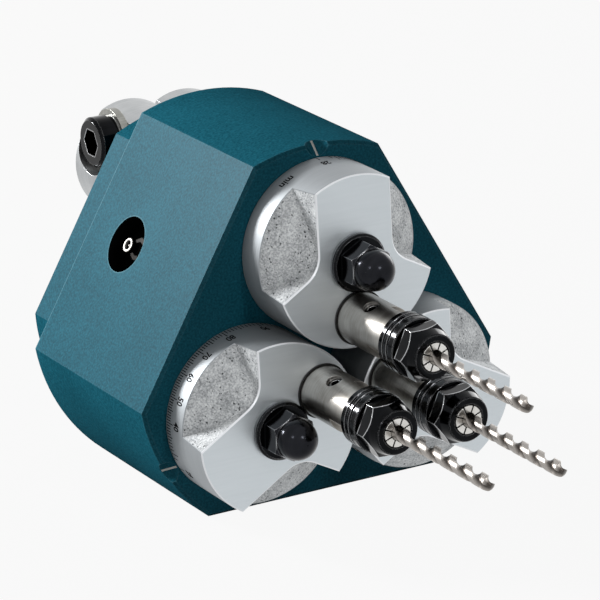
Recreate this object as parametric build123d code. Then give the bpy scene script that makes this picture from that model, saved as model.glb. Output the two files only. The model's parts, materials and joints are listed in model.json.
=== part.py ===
import os
from math import acos, cos, pi, radians, sin, sqrt, tan

from build123d import *

os.makedirs("parts", exist_ok=True)

# Sizes in millimetres. The head is drawn with its axis along Z, front up, and turned at the end
# so that the spindles point along -Y and the rest flat lies underneath.

stations = 3
body_radius = 62.5
flat_distance = 48.0
body_depth = 70.0
front_chamfer = 1.0
front_plate = 10.0
station_radius = 31.5
eccentricity = 17.5
rest_swivel = 2.0

run_clear = 0.05
face_gap = 0.3

gear_chamber_radius = 59.1
gear_chamber_flat = 43.4
gear_chamber_depth = 27.0
rear_chamber_wall = 2.0
rear_chamber_flat = 38.5

index_cutter_radius = 4.6
index_cutter_lift = 1.3

nipple_counterbore_radius = 9.0
nipple_counterbore_depth = 7.0
nipple_from_front = 47.0
nipple_along_flat = -2.0
nipple_thread_radius = 3.0
nipple_head_radius = 2.9
nipple_head_height = 5.5
nipple_hex = 7.0
nipple_hex_height = 2.5
nipple_neck_radius = 1.7
nipple_thread_grip = 2.4
nipple_duct = 20.0

cover_thickness = 9.5
cover_radius = 56.5
cover_flat = 47.4
cover_screw_inset = 4.5
cover_screw_turn = 90.0
cover_screw_radius = 2.5
cover_screw_head_radius = 4.25
cover_screw_head_height = 5.0
cover_screw_length = 15.5
cover_screw_hex = 4.0
thread_run_out = 1.0

disc_radius = 26.8
disc_height = 21.5
disc_spigot_radius = 26.0
disc_floor = 10.0
disc_floor_slope = 38.0
disc_web_half = 12.75
disc_corner_x = 0.3
disc_corner_fillet = 9.0
disc_wall_angle = 60.0
disc_wall_draft = 6.0
disc_edge = 0.4

stud_radius = 4.0
stud_short = 1.0
washer_radius = 9.0
washer_thickness = 1.9
washer_edge = 0.7
acorn_hex = 13.0
acorn_hex_height = 6.5
acorn_dome_radius = 6.2
acorn_height = 13.8
acorn_bore_depth = 9.5
acorn_bevel = 1.0

shank_radius = 8.0
shank_mouth = 8.3
shank_mouth_depth = 4.0
shank_length = 25.0
journal_radius = 4.5
cage_radius = 6.3
cage_rollers = 9
cage_slot = 1.7
cage_rim = 2.5
cage_end_gap = 0.5
wrench_width = 13.0
wrench_length = 8.5
wrench_angle = 230.0
set_screw_radius = 2.5
set_screw_from_face = 11.5
set_screw_angle = 112.0
set_screw_sunk = 1.0
set_screw_hex = 2.5
set_screw_hex_depth = 2.2
nose_radius = 6.8
nose_length = 10.0
nose_edge = 0.6
shank_end_gap = 0.4
relief_step = 0.6
relief_depth = 8.0

nut_radius = 9.2
nut_length = 17.0
nut_hex = 16.6
nut_collar = 5.0
nut_groove = 0.5
nut_mouth_radius = 4.5
nut_face_radius = 7.6
nut_thread_clear = 0.1
nut_edge = 0.4
nut_groove_width = 0.8
nut_cone = 2.9
nut_lip = 0.5

collet_radius = 5.6
collet_taper = 8.0
collet_length = 17.0
collet_face_radius = 4.3
collet_face_length = 3.2
collet_slots = 8
collet_slot = 0.5
collet_root = 2.5

drill_radius = 2.2
drill_shank_radius = 2.25
drill_reach = 49.0
drill_plain = 1.5
drill_helix = 30.0
drill_point = 118.0
drill_web = 0.55

sun_module = 1.5
sun_teeth = 24
idler_rear_teeth = 18
pinion_module = 1.0
idler_front_teeth = 19
pinion_teeth = 16
pressure_angle = 20.0
addendum = 0.9
dedendum = 1.2
tooth_thinning = 0.12
pinion_front = 12.0
pinion_width = 8.0
sun_front = 25.0
sun_width = 9.0
sun_hub_radius = 11.0
sun_hub_length = 5.0
idler_hub_radius = 9.0
idler_bore = 6.0

sleeve_shoulder = 8.0
sleeve_front = 10.6
stud_plate_thickness = 10.0
stud_plate_clear = 0.2

shaft_radius = 6.0
shaft_pilot_radius = 3.45
shaft_pilot_bush = 4.9
shaft_pilot_depth = 7.0
dog_width = 3.2
dog_depth = 3.5
shaft_set_back = 0.3
bearing_radius = 14.0
bearing_width = 8.0
bearing_land = 2.4
bearing_groove = 0.8
shaft_free = 1.0
key_width = 4.0
key_height = 2.2

collar_bore = 18.0
collar_radius = 27.0
collar_length = 30.0
collar_flange_radius = 34.0
collar_flange = 5.0
collar_slit = 2.0
collar_screw_inset = 3.5
collar_screw_turn = 30.0
collar_screw_radius = 2.0
collar_screw_head_radius = 3.4
collar_screw_head_height = 4.0
collar_screw_length = 10.5
collar_screw_hex = 3.0
lug_radius = 18.6
lug_height = 34.9
lug_offset = 10.0
lug_gap = 1.5
lug_length = 22.2
lug_edge = 0.8
lug_neck = 12.0
clamp_seat_offset = 8.75
clamp_seat_radius = 10.4
clamp_screw_rise = 9.7
clamp_screw_radius = 5.0
clamp_head_radius = 8.0
clamp_head_height = 7.0
clamp_head_hex = 8.0
clamp_screw_reach = 21.0
lug_washer_radius = 9.7
lug_washer_thickness = 2.5

# Heights worked out along the axis, front positive.
cover_front = -body_depth
cover_rear = cover_front - cover_thickness
rest_direction = 180 + rest_swivel
face = disc_height
nut_rear = face + shank_length
nut_front = nut_rear + nut_length
tip = nut_front + drill_reach
cage_bore = cage_radius + run_clear
spigot_bore = disc_spigot_radius + run_clear
stud_plate_front = body_depth - stud_plate_thickness
cover_screw_circle = cover_radius - cover_screw_inset
rear_chamber_radius = cover_screw_circle - cover_screw_radius - rear_chamber_wall
collar_screw_circle = collar_flange_radius - collar_screw_inset
lug_front = cover_rear - lug_gap
lug_rear = lug_front - lug_length
clamp_seat = lug_offset + clamp_seat_offset
clamp_screw_height = lug_height + clamp_screw_rise
cover_head_step = cover_rear + cover_screw_head_height
cover_thread_end = cover_head_step + cover_screw_length + thread_run_out
collar_thread_end = cover_rear - collar_flange + collar_screw_length + 0.5 * thread_run_out


def tube(outer, inner, low, high):
    ring = Circle(outer) - Circle(inner)
    return extrude(Pos(0, 0, low) * ring, high - low)


def rod(radius, low, high):
    return extrude(Pos(0, 0, low) * Circle(radius), high - low)


def flatted(radius, flat, low, high):
    profile = Circle(radius)
    for i in range(stations):
        off = Rot(0, 0, 30 + 120 * i) * Pos(flat + radius, 0) * Rectangle(2 * radius, 4 * radius)
        profile -= off
    return extrude(Pos(0, 0, low) * profile, high - low)


def station_place(i):
    turn = 90 + 120 * i
    return Rot(0, 0, turn) * Pos(station_radius, 0, 0)


def disc_place(i):
    return station_place(i) * Rot(0, 0, rest_direction)


def spindle_place(i):
    return disc_place(i) * Pos(eccentricity, 0, 0)


def involute(angle):
    return tan(angle) - angle


def gear_face(module, teeth):
    pitch = module * teeth / 2
    base = pitch * cos(radians(pressure_angle))
    root = pitch - dedendum * module
    crest = pitch + addendum * module
    start = max(base, root) + 0.01
    half = pi / (2 * teeth) - tooth_thinning / pitch + involute(radians(pressure_angle))
    steps = 4
    flank = []
    for k in range(steps + 1):
        r = start + (crest - start) * k / steps
        flank.append((r, half - involute(acos(base / r))))
    flank.insert(0, (root, flank[0][1]))
    outline = []
    for n in range(teeth):
        middle = 2 * pi * n / teeth
        for r, a in flank:
            outline.append((r * cos(middle - a), r * sin(middle - a)))
        for r, a in reversed(flank):
            outline.append((r * cos(middle + a), r * sin(middle + a)))
    return make_face(Polyline(*outline, close=True))


def spun(points):
    outline = make_face(Plane.XZ * Polyline(*points, close=True))
    return revolve(outline, Axis.Z)


def hex_prism(width, low, high):
    return extrude(Pos(0, 0, low) * RegularPolygon(width / sqrt(3), 6), high - low)


# Housing: a round body with three flats, a gear chamber open to the rear and three disc seats in front.
housing = flatted(body_radius, flat_distance, cover_front, 0)
housing = chamfer(housing.faces().sort_by(Axis.Z)[-1].outer_wire().edges(), front_chamfer)
chamber_rear = -front_plate - gear_chamber_depth
housing -= flatted(gear_chamber_radius, gear_chamber_flat, chamber_rear, -front_plate)
housing -= flatted(rear_chamber_radius, rear_chamber_flat, cover_front - 1, chamber_rear + 0.5)
housing -= rod(shaft_pilot_bush, -front_plate - 1, -front_plate + shaft_pilot_depth)
for i in range(stations):
    housing -= station_place(i) * rod(spigot_bore, -front_plate - 1, 1)
    scoop = Rot(0, 0, 90 + 120 * i) * Pos(body_radius + index_cutter_lift, 0, index_cutter_lift)
    housing -= scoop * Rot(0, -45, 0) * Cylinder(index_cutter_radius, body_radius)
    screw_seat = Rot(0, 0, cover_screw_turn + 120 * i) * Pos(cover_screw_circle, 0, 0)
    housing -= screw_seat * rod(cover_screw_radius, cover_front - 1, cover_thread_end)
nipple_place = Rot(0, 0, 150) * Pos(flat_distance, nipple_along_flat, -nipple_from_front) * Rot(0, 90, 0)
housing -= nipple_place * rod(nipple_counterbore_radius, -nipple_counterbore_depth, 5)
housing -= nipple_place * rod(nipple_thread_radius, -nipple_duct, 0)

# Grease nipple: hexagon, neck and ball end at the bottom of the counterbore.
seat = -nipple_counterbore_depth
neck_low = seat + nipple_hex_height
crown = seat + nipple_head_height
nipple = rod(nipple_thread_radius, seat - nipple_thread_grip, seat)
nipple += hex_prism(nipple_hex, seat, neck_low)
nipple_rows = [(0, neck_low), (nipple_neck_radius + 0.5, neck_low), (nipple_neck_radius, neck_low + 1.1)]
nipple_rows += [(nipple_head_radius, crown - 1.1), (nipple_head_radius, crown - 0.5)]
nipple_rows += [(nipple_head_radius - 1.9, crown), (0, crown)]
nipple += spun(nipple_rows)
nipple = nipple_place * nipple

# Rear cover with the seat of the rear drive bearing.
cover = flatted(cover_radius, cover_flat, cover_rear, cover_front)
bearing_step = cover_front - bearing_width
cover -= rod(bearing_radius, bearing_step, cover_front + 1)
cover -= rod(shaft_radius + shaft_free, cover_rear - 1, bearing_step + 1)
for i in range(stations):
    seat_place = Rot(0, 0, cover_screw_turn + 120 * i) * Pos(cover_screw_circle, 0, 0)
    cover -= seat_place * rod(cover_screw_radius, cover_rear - 1, cover_front + 1)
    cover -= seat_place * rod(cover_screw_head_radius, cover_rear - 1, cover_head_step)
    thread_place = Rot(0, 0, collar_screw_turn + 120 * i) * Pos(collar_screw_circle, 0, 0)
    cover -= thread_place * rod(collar_screw_radius, cover_rear - 1, collar_thread_end)


def cap_screw(radius, head_radius, head_height, length, hexagon):
    body = rod(head_radius, -head_height, 0) + rod(radius, 0, length)
    body = chamfer(body.faces().sort_by(Axis.Z)[0].edges(), head_radius * 0.12)
    return body - hex_prism(hexagon, -head_height - 1, -head_height * 0.45)


def ring_of(shape, first, circle, height):
    places = [Rot(0, 0, first + 120 * i) * Pos(circle, 0, height) for i in range(stations)]
    return Compound(children=[place * shape for place in places])


cover_screw = cap_screw(
    cover_screw_radius,
    cover_screw_head_radius,
    cover_screw_head_height,
    cover_screw_length,
    cover_screw_hex,
)
cover_screws = ring_of(cover_screw, cover_screw_turn, cover_screw_circle, cover_head_step)

# Quill clamp collar: flanged ring with two round ears above it, split between them and pinched by a screw.
collar_rear = cover_rear - collar_length
collar = rod(collar_radius, collar_rear, cover_rear)
collar += rod(collar_flange_radius, cover_rear - collar_flange, cover_rear)
ear = rod(lug_radius, lug_rear, lug_front)
ear = chamfer(ear.faces().sort_by(Axis.Z)[0].edges(), lug_edge)
for side in (1, -1):
    collar += Pos(side * lug_offset, lug_height, 0) * ear
neck_place = Pos(0, lug_height / 2, (lug_front + lug_rear) / 2)
collar += neck_place * Box(2 * (lug_offset + lug_neck), lug_height, lug_length - 2 * lug_edge)
collar -= rod(collar_bore, collar_rear - 1, cover_rear + 1)
slit_place = Pos(0, lug_height, cover_rear - collar_length / 2)
collar -= slit_place * Box(collar_slit, 2 * lug_height, collar_length + 2)
clamp_place = Pos(-clamp_seat, clamp_screw_height, (lug_front + lug_rear) / 2) * Rot(0, 90, 0)
collar -= clamp_place * rod(clamp_seat_radius, -2 * lug_radius, 0)
shoulder_place = Pos(-clamp_seat - lug_radius, clamp_screw_height + lug_radius, (lug_front + lug_rear) / 2)
collar -= shoulder_place * Box(2 * lug_radius, 2 * lug_radius, lug_length + 2)
collar -= clamp_place * rod(clamp_screw_radius, -1, 2 * clamp_seat + 2 * lug_radius)
for i in range(stations):
    hole_place = Rot(0, 0, collar_screw_turn + 120 * i) * Pos(collar_screw_circle, 0, 0)
    collar -= hole_place * rod(collar_screw_radius, cover_rear - collar_flange - 1, cover_rear + 1)
lug_washer = clamp_place * tube(lug_washer_radius, clamp_screw_radius, -lug_washer_thickness, 0)
clamp_screw_length = lug_washer_thickness + clamp_seat + clamp_screw_reach
clamp_screw = clamp_place * Pos(0, 0, -lug_washer_thickness) * cap_screw(
    clamp_screw_radius, clamp_head_radius, clamp_head_height, clamp_screw_length, clamp_head_hex
)
collar_screw = cap_screw(
    collar_screw_radius,
    collar_screw_head_radius,
    collar_screw_head_height,
    collar_screw_length,
    collar_screw_hex,
)
collar_screws = ring_of(collar_screw, collar_screw_turn, collar_screw_circle, cover_rear - collar_flange)

# Stud plate behind the gears, with the front drive bearing.
plate_radius = rear_chamber_radius - stud_plate_clear
plate_flat = rear_chamber_flat - stud_plate_clear
plate = flatted(plate_radius, plate_flat, cover_front, -stud_plate_front)
plate -= rod(bearing_radius, cover_front - 1, cover_front + bearing_width)
plate -= rod(shaft_radius + shaft_free, cover_front, -stud_plate_front + 1)
for i in range(stations):
    plate -= station_place(i) * rod(stud_radius, cover_front - 1, -stud_plate_front + 1)


def ball_bearing(low):
    high = low + bearing_width
    outer = bearing_radius - bearing_land
    inner = shaft_radius + bearing_land
    bore = shaft_radius + run_clear
    sunk_low = low + bearing_groove
    sunk_high = high - bearing_groove
    rows = [(bore, low), (inner, low), (inner, sunk_low), (outer, sunk_low), (outer, low)]
    rows += [(bearing_radius, low), (bearing_radius, high), (outer, high), (outer, sunk_high)]
    rows += [(inner, sunk_high), (inner, high), (bore, high)]
    return spun(rows)


front_bearing = ball_bearing(cover_front)
rear_bearing = ball_bearing(cover_front - bearing_width)
pilot_bush = tube(
    shaft_pilot_bush, shaft_pilot_radius + run_clear, -front_plate, -front_plate + shaft_pilot_depth
)

# Drive shaft, sun gear and key.
shaft_rear = cover_rear + shaft_set_back
shaft_front = -front_plate + shaft_pilot_depth - shaft_free
sun_rear = -sun_front - sun_width
shaft = rod(shaft_radius, shaft_rear, -sun_front) + rod(shaft_pilot_radius, -sun_front, shaft_front)
for turned in (0, 90):
    dog_slot = Pos(0, 0, shaft_rear) * Box(4 * shaft_radius, dog_width, 2 * dog_depth)
    shaft -= Rot(0, 0, turned) * dog_slot
key_low = sun_rear - sun_hub_length
key_length = -sun_front - key_low
key_box = Pos(0, shaft_radius, (key_low - sun_front) / 2) * Box(key_width, 2 * key_height, key_length)
shaft -= key_box
sun = extrude(Pos(0, 0, sun_rear) * gear_face(sun_module, sun_teeth), sun_width)
sun += rod(sun_hub_radius, key_low, sun_rear)
sun -= rod(shaft_radius, key_low - 1, -sun_front + 1)
sun -= key_box

# One compound idler, shared by the three stations.
rear_phase = 180 + 180 / idler_rear_teeth
idler_front = extrude(
    Rot(0, 0, rest_direction) * Pos(0, 0, -pinion_front - pinion_width)
    * gear_face(pinion_module, idler_front_teeth),
    pinion_width,
)
idler_rear = extrude(
    Rot(0, 0, rear_phase) * Pos(0, 0, sun_rear) * gear_face(sun_module, idler_rear_teeth), sun_width
)
idler = idler_front + idler_rear + rod(idler_hub_radius, -sun_front, -pinion_front - pinion_width)
idler -= rod(idler_bore + run_clear, sun_rear - 1, -pinion_front + 1)
sleeve_step = sun_rear - shaft_free
sleeve_rows = [(stud_radius, -stud_plate_front), (sleeve_shoulder, -stud_plate_front)]
sleeve_rows += [(sleeve_shoulder, sleeve_step), (idler_bore, sleeve_step)]
sleeve_rows += [(idler_bore, -sleeve_front), (stud_radius, -sleeve_front)]
sleeve = spun(sleeve_rows)

# Clamp stud, washer and domed nut at a disc's centre.
washer_low = face + face_gap
nut_low = washer_low + washer_thickness
stud = rod(stud_radius, cover_front, nut_low + acorn_bore_depth - stud_short)
washer_rows = [(stud_radius, washer_low), (washer_radius, washer_low)]
washer_rows += [(washer_radius, nut_low - washer_edge), (washer_radius - washer_edge, nut_low)]
washer_rows += [(stud_radius, nut_low)]
washer = spun(washer_rows)
dome_base = nut_low + acorn_height - acorn_dome_radius
acorn = hex_prism(acorn_hex, nut_low, nut_low + acorn_hex_height)
bevel_wide = acorn_hex / sqrt(3)
bevel_top = nut_low + acorn_hex_height
bevel = [(0, nut_low), (bevel_wide, nut_low), (bevel_wide, bevel_top - acorn_bevel)]
bevel += [(bevel_wide - acorn_bevel, bevel_top), (0, bevel_top)]
acorn = acorn & spun(bevel)
acorn += rod(acorn_dome_radius, nut_low, dome_base) + Pos(0, 0, dome_base) * Sphere(acorn_dome_radius)
acorn -= rod(stud_radius, nut_low - 1, nut_low + acorn_bore_depth)

# Eccentric disc: full height around the spindle, a parallel web beyond it and two cast pockets,
# each with drafted walls and a floor that falls away from the hub to the rim as a shallow cone.
disc = rod(disc_radius, face_gap, face)
disc = chamfer(disc.faces().sort_by(Axis.Z)[-1].edges(), disc_edge)
wall_x = disc_corner_x + 2 * disc_radius * cos(radians(disc_wall_angle))
wall_y = disc_web_half + 2 * disc_radius * sin(radians(disc_wall_angle))
floor_fall = disc_radius * tan(radians(disc_floor_slope))
floor_low = disc_floor - floor_fall
floor_cone = spun([(0, floor_low), (2 * disc_radius, floor_low), (0, disc_floor + floor_fall)])
for side in (1, -1):
    corner = (disc_corner_x, side * disc_web_half)
    pocket = make_face(
        Polyline(
            (-2 * disc_radius, side * disc_web_half),
            corner,
            (wall_x, side * wall_y),
            (-2 * disc_radius, side * wall_y),
            close=True,
        )
    )
    pocket = Pos(0, 0, face) * fillet(pocket.vertices().sort_by_distance(corner)[0], disc_corner_fillet)
    disc -= extrude(offset(pocket, disc_edge), -disc_edge, taper=45)
    disc -= extrude(pocket, disc_floor - face - 1, taper=disc_wall_draft) - floor_cone
disc += rod(disc_spigot_radius, -front_plate, face_gap)
disc -= rod(stud_radius + run_clear, -front_plate - 1, face + 1)
disc -= Pos(eccentricity, 0, 0) * rod(cage_bore, -front_plate - 1, face)
disc -= Pos(eccentricity, 0, 0) * rod(shank_mouth, face - shank_mouth_depth, face + 1)

# Roller cage between disc and spindle journal.
cage_low = -front_plate + cage_end_gap
cage_high = face - shank_mouth_depth - cage_end_gap
cage = tube(cage_radius, journal_radius + run_clear, cage_low, cage_high)
for k in range(cage_rollers):
    window = Rot(0, 0, 360 * k / cage_rollers) * Pos(cage_radius, 0, (cage_low + cage_high) / 2)
    cage -= window * Box(cage_radius, cage_slot, cage_high - cage_low - 2 * cage_rim)

# Spindle: journal, visible shank with wrench flats and cross hole, threaded nose with the collet seat.
shank_low = face - shank_mouth_depth + shank_end_gap
nose_high = nut_rear + nose_length
seat_slope = tan(radians(collet_taper))
seat_depth = collet_length - collet_face_length
collet_wide = nut_front - collet_face_length
seat_mouth = collet_radius - (collet_wide - nose_high) * seat_slope
seat_low = collet_wide - seat_depth
collet_small = collet_radius - seat_depth * seat_slope
relief = collet_small - relief_step
relief_low = seat_low - relief_depth
spindle_rows = [(0, -pinion_front - pinion_width), (journal_radius, -pinion_front - pinion_width)]
spindle_rows += [(journal_radius, shank_low), (shank_radius, shank_low), (shank_radius, nut_rear)]
spindle_rows += [(nose_radius, nut_rear), (nose_radius, nose_high - nose_edge)]
spindle_rows += [(nose_radius - nose_edge, nose_high), (seat_mouth, nose_high)]
spindle_rows += [(collet_small, seat_low), (relief, seat_low)]
spindle_rows += [(relief, relief_low), (0, relief_low)]
spindle = spun(spindle_rows)
flat_place = Rot(0, 0, wrench_angle)
for side in (0, 180):
    slab_middle = (wrench_width + shank_radius) / 2
    slab = Pos(slab_middle, 0, nut_rear - wrench_length / 2)
    slab *= Box(shank_radius, 3 * shank_radius, wrench_length)
    spindle -= flat_place * Rot(0, 0, side) * slab
screw_height = face + set_screw_from_face
screw_place = Rot(0, 0, set_screw_angle) * Pos(0, 0, screw_height) * Rot(0, 90, 0)
spindle -= screw_place * rod(set_screw_radius, relief - 0.5, shank_radius + 2)
screw_top = shank_radius - set_screw_sunk
set_screw = rod(set_screw_radius, relief + face_gap, screw_top)
set_screw -= hex_prism(set_screw_hex, screw_top - set_screw_hex_depth, shank_radius)
set_screw = screw_place * set_screw

# Pinion on the rear end of the journal.
pinion_rear = -pinion_front - pinion_width
pinion = extrude(Pos(0, 0, pinion_rear) * gear_face(pinion_module, pinion_teeth), pinion_width)
pinion -= rod(journal_radius, pinion_rear - 1, 0)

# Collet nut: round grooved collar, hexagon and coned front.
thread_bore = nose_radius + nut_thread_clear
hex_low = nut_rear + nut_collar
groove_high = hex_low - nut_edge
groove_low = groove_high - nut_groove_width - 2 * nut_groove
groove_radius = nut_radius - nut_groove
lip_low = nut_front - nut_lip
nut_rows = [(thread_bore, nut_rear), (nut_radius - nut_edge, nut_rear), (nut_radius, nut_rear + nut_edge)]
nut_rows += [(nut_radius, groove_low), (groove_radius, groove_low + nut_groove)]
nut_rows += [(groove_radius, groove_high - nut_groove), (nut_radius, groove_high)]
nut_rows += [(nut_radius, lip_low - nut_cone), (nut_face_radius, lip_low)]
nut_rows += [(nut_face_radius - nut_lip, nut_front), (nut_mouth_radius, nut_front)]
nut_rows += [(collet_radius + nut_thread_clear, collet_wide), (thread_bore, collet_wide - 1.0)]
nut = spun(nut_rows)
hex_keep = hex_prism(nut_hex, hex_low, nut_front + 1) + rod(nut_radius + 1, nut_rear - 1, hex_low)
nut = nut & hex_keep

# Collet with its radial slots.
collet_rows = [(drill_shank_radius, seat_low), (collet_small, seat_low), (collet_radius, collet_wide)]
collet_rows += [(collet_face_radius, nut_front), (drill_shank_radius, nut_front)]
collet = spun(collet_rows)
slot_height = nut_front - seat_low - collet_root
slot_place = Pos(collet_radius, 0, nut_front - slot_height / 2)
for k in range(collet_slots):
    slot = slot_place * Box(2 * collet_radius, collet_slot, slot_height)
    collet -= Rot(0, 0, 360 * (k + 0.5) / collet_slots) * slot

# Twist drill: two helical flutes run out of a plain shank, with a coned point.
flute_low = nut_front + drill_plain
flute_length = tip - flute_low
flute_turn = 360 * flute_length * tan(radians(drill_helix)) / (2 * pi * drill_radius)
flute_radius = 0.95 * drill_radius
web_face = Circle(drill_radius)
for side in (1, -1):
    web_face -= Pos(side * (drill_web + flute_radius), 0) * Circle(flute_radius)
fluted = Solid.extrude_linear_with_rotation(
    web_face.face(), center=(0, 0, 0), normal=(0, 0, flute_length), angle=flute_turn
)
point_slope = tan(radians(drill_point / 2))
point_wide = drill_radius + 1
point_low = tip - point_wide / point_slope
point_rows = [(0, flute_low - 1), (point_wide, flute_low - 1), (point_wide, point_low), (0, tip)]
drill = Pos(0, 0, flute_low) * fluted & spun(point_rows)
drill += rod(drill_shank_radius, seat_low + 1, flute_low + 0.2)

# The shared frame: origin in the middle of the quill bore, spindles along -Y, rest flat below.
bore_middle = cover_rear - collar_length / 2
frame = Rot(90, 0, 0) * Pos(0, 0, -bore_middle)
fixed = {
    "housing_body": housing,
    "rear_cover": cover,
    "cover_screws": cover_screws,
    "grease_nipple": nipple,
    "quill_collar": collar,
    "clamp_screw": clamp_screw,
    "lug_washer": lug_washer,
    "collar_screws": collar_screws,
    "stud_plate": plate,
    "front_bearing": front_bearing,
    "rear_bearing": rear_bearing,
    "pilot_bush": pilot_bush,
    "drive_shaft": shaft,
    "sun_gear": sun,
    "sun_key": key_box,
}
at_station = {
    "clamp_stud": stud,
    "clamp_washer": washer,
    "acorn_nut": acorn,
    "idler_sleeve": sleeve,
    "idler_gear": idler,
}
at_spindle = {
    "roller_cage": cage,
    "spindle": spindle,
    "set_screw": set_screw,
    "spindle_pinion": Rot(0, 0, 180 + 180 / pinion_teeth) * pinion,
    "collet_nut": nut,
    "collet": collet,
    "twist_drill": drill,
}
turned_back = {"spindle", "set_screw", "collet_nut", "collet", "twist_drill"}
for name, shape in fixed.items():
    export_step(frame * shape, f"parts/{name}.step")
for i in range(stations):
    number = i + 1
    export_step(frame * disc_place(i) * disc, f"parts/eccentric_disc_{number}.step")
    for name, shape in at_station.items():
        export_step(frame * station_place(i) * shape, f"parts/{name}_{number}.step")
    for name, shape in at_spindle.items():
        upright = Rot(0, 0, -(90 + 120 * i + rest_direction)) if name in turned_back else Rot(0, 0, 0)
        export_step(frame * spindle_place(i) * upright * shape, f"parts/{name}_{number}.step")
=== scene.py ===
import json
import math

import bpy
import numpy as np
from mathutils import Matrix, Vector


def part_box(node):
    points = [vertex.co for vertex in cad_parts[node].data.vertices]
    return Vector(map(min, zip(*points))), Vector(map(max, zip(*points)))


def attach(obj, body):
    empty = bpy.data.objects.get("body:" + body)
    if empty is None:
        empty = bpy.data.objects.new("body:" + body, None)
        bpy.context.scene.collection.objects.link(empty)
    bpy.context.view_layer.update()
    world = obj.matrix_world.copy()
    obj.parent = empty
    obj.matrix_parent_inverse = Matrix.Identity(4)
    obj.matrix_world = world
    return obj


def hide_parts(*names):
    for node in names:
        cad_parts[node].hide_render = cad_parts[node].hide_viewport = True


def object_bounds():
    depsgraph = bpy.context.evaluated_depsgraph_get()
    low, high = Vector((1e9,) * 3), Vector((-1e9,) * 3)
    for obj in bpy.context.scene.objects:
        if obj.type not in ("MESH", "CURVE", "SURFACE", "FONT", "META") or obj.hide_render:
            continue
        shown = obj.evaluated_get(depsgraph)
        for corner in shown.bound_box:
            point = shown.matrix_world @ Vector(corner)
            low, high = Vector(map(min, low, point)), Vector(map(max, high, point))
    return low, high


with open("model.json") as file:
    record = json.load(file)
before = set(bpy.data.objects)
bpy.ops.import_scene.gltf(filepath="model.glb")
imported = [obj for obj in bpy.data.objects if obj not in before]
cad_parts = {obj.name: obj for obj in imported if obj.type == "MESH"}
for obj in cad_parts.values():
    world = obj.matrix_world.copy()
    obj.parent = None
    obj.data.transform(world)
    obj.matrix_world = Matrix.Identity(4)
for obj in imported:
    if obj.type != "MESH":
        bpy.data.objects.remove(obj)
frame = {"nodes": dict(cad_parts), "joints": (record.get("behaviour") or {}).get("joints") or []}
cadLow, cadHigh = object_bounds()
nodes = frame["nodes"]
joints = {j["name"]: Vector(j["pos_m"]) for j in frame["joints"]}
stations = (1, 2, 3)
mm = 0.001
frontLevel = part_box("housing_body")[0].y
print("frame loaded,", len(nodes), "nodes")


# angle of a station round the drive axis: the first is on top, the others follow a third of a turn apart
def stationDeg(k):
    return 90 + 120 * (k - 1)


# sRGB hex to the linear colour that the shaders take
def toLinear(code):
    srgb = np.array([int(code[i:i + 2], 16) for i in (1, 3, 5)]) / 255
    linear = np.where(srgb <= 0.04045, srgb / 12.92, ((srgb + 0.055) / 1.055) ** 2.4)
    return (*linear.tolist(), 1.0)


# one node: settings are its own properties, inputs are values or sockets to link
def addNode(tree, kind, settings=None, inputs=None):
    node = tree.nodes.new(kind)
    for name, value in (settings or {}).items():
        setattr(node, name, value)
    for name, value in (inputs or {}).items():
        if isinstance(value, bpy.types.NodeSocket):
            tree.links.new(value, node.inputs[name])
        else:
            node.inputs[name].default_value = value
    return node


def newMaterial(name):
    material = bpy.data.materials.new(name)
    material.use_nodes = True
    material.node_tree.nodes.clear()
    return material, material.node_tree


def dress(nodeName, material):
    mesh = nodes[nodeName].data
    mesh.materials.clear()
    mesh.materials.append(material)


# a grid of points rows x columns to a mesh, closed along either direction where asked
def gridMesh(name, points, closeRows=False, closeColumns=False, capEnds=False):
    rows, columns = points.shape[:2]
    index = np.arange(rows * columns).reshape(rows, columns)
    if closeRows:
        index = np.vstack([index, index[:1]])
    if closeColumns:
        index = np.hstack([index, index[:, :1]])
    quads = np.stack([index[:-1, :-1], index[:-1, 1:], index[1:, 1:], index[1:, :-1]], -1).reshape(-1, 4)
    faces = quads.tolist()
    if capEnds:
        faces += [index[0, :columns][::-1].tolist(), index[-1, :columns].tolist()]
    mesh = bpy.data.meshes.new(name)
    mesh.from_pydata(points.reshape(-1, 3).tolist(), [], faces)
    mesh.update()
    return mesh


# a closed surface faces outwards when the sum of a . (b x c) over its triangles is above zero
def faceOutwards(mesh):
    mesh.calc_loop_triangles()
    corners = np.empty(len(mesh.loop_triangles) * 3, dtype=int)
    mesh.loop_triangles.foreach_get("vertices", corners)
    points = np.empty(len(mesh.vertices) * 3)
    mesh.vertices.foreach_get("co", points)
    a, b, c = points.reshape(-1, 3)[corners].reshape(-1, 3, 3).transpose(1, 0, 2)
    if (a * np.cross(b, c)).sum() < 0:
        mesh.flip_normals()


# a share from 0 to 1 at each point, which the oxide and phosphate finishes show in a bright steel tone:
# painted highlight, on the oxide's edges partly also wear
def markRubbed(mesh, share):
    values = np.asarray(share, dtype=float).ravel()
    mesh.attributes.new("wearAndHighlight", "FLOAT", "POINT").data.foreach_set("value", values)


def newPiece(name, mesh, material, body, smooth=True, sharpDeg=None):
    faceOutwards(mesh)
    mesh.materials.append(material)
    mesh.polygons.foreach_set("use_smooth", np.full(len(mesh.polygons), smooth))
    if sharpDeg:
        mesh.set_sharp_from_angle(angle=math.radians(sharpDeg))
    piece = bpy.data.objects.new(name, mesh)
    bpy.context.scene.collection.objects.link(piece)
    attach(piece, body)
    return piece


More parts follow.
